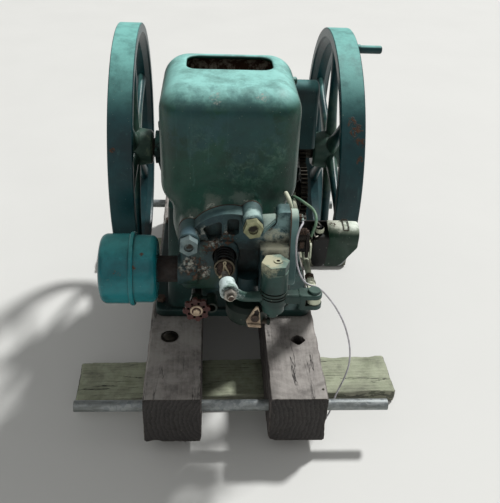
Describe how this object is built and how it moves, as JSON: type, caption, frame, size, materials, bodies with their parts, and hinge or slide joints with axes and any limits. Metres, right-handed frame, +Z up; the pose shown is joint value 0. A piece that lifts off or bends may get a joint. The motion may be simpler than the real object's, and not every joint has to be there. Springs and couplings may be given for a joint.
{
  "type": "stationary engine",
  "caption": "Horizontal hopper-cooled stationary engine with spoked flywheels, side muffler and rocker-driven valve, on a timber skid frame with cross pipes.",
  "frame": {"origin": "on the ground, in the middle of the skid frame, under the middle between the flywheels", "axes": "+Z up, +Y from the cylinder head back to the crankshaft, +X to the side of the timing gears and magneto"},
  "size_m": [0.6722, 0.896, 0.661],
  "materials": {
    "timber": "weathered rough sawn",
    "board": "grey weathered",
    "pipe": "dull galvanised",
    "green_paint": "old worn green paint",
    "dark_iron": "dark and oily",
    "rusty_iron": "rusted",
    "nut_steel": "dull plated",
    "red_paint": "faded red-brown paint",
    "black_paint": "black",
    "lead_cover": "painted over cable",
    "wire_cover": "pale insulation"
  },
  "bodies": {
    "frame": {"skid_left": "timber", "skid_right": "timber", "cross_board_front": "board", "cross_board_rear": "board", "cross_pipe_front": "pipe", "cross_pipe_rear": "pipe", "bed": "green_paint", "bearing_cap_left": "green_paint", "bearing_cap_right": "green_paint", "crank_hood": "green_paint", "push_rod_guide": "green_paint", "hopper": "green_paint", "cylinder_head": "green_paint", "head_stud_right": "nut_steel", "head_stud_left": "nut_steel", "pivot_post": "green_paint", "pivot_bracket": "green_paint", "muffler": "green_paint", "exhaust_nipple": "rusty_iron", "mixer": "green_paint", "choke_pin": "rusty_iron", "drain_valve": "rusty_iron", "igniter_plate": "green_paint", "magneto_bracket": "black_paint", "magneto_magnets": "black_paint", "magneto_cover": "green_paint", "hold_down_bolts": "rusty_iron", "igniter_stud": "dark_iron", "igniter_trip": "rusty_iron", "ignition_lead": "lead_cover", "loose_wire": "wire_cover"},
    "crank": {"crankshaft": "dark_iron", "flywheel_left": "green_paint", "flywheel_right": "green_paint", "crank_handle": "dark_iron", "crank_gear": "dark_iron"},
    "cam_wheel": {"cam_gear": "dark_iron", "cam": "dark_iron"},
    "rocker": {"rocker_arm": "green_paint", "adjusting_screw": "nut_steel"},
    "valve": {"exhaust_valve": "rusty_iron", "valve_spring": "dark_iron"},
    "rod": {"push_rod": "green_paint"},
    "choke": {"choke_lever": "rusty_iron"},
    "drain_wheel": {"drain_handwheel": "red_paint"}
  },
  "joints": [
    {"name": "crank_spin", "type": "hinge", "parent": "frame", "child": "crank", "pos_m": [0, 0.061, 0.407], "axis": [1, 0, 0], "continuous": true},
    {"name": "cam_spin", "type": "hinge", "parent": "frame", "child": "cam_wheel", "pos_m": [0.15, 0.018, 0.32794], "axis": [1, 0, 0], "continuous": true},
    {"name": "rocker_swing", "type": "hinge", "parent": "frame", "child": "rocker", "pos_m": [0.059, -0.385, 0.339], "axis": [0, 0, -1], "range_deg": [0, 5.5]},
    {"name": "valve_slide", "type": "slide", "parent": "frame", "child": "valve", "axis": [0, 1, 0], "range_m": [0, 0.008]},
    {"name": "rod_slide", "type": "slide", "parent": "frame", "child": "rod", "axis": [0, -1, 0], "range_m": [0, 0.007]},
    {"name": "choke_swing", "type": "hinge", "parent": "frame", "child": "choke", "pos_m": [0.029, -0.39, 0.296], "axis": [0, -1, 0], "range_deg": [0, 35]},
    {"name": "drain_turn", "type": "hinge", "parent": "frame", "child": "drain_wheel", "pos_m": [-0.071, -0.368, 0.295], "axis": [0, 1, 0], "continuous": true}
  ],
  "couplings": [
    {"joint": "cam_spin", "follows": "crank_spin", "ratio": -0.5},
    {"joint": "valve_slide", "follows": "rocker_swing", "m_per_rad": 0.083},
    {"joint": "rod_slide", "follows": "rocker_swing", "m_per_rad": 0.069}
  ]
}
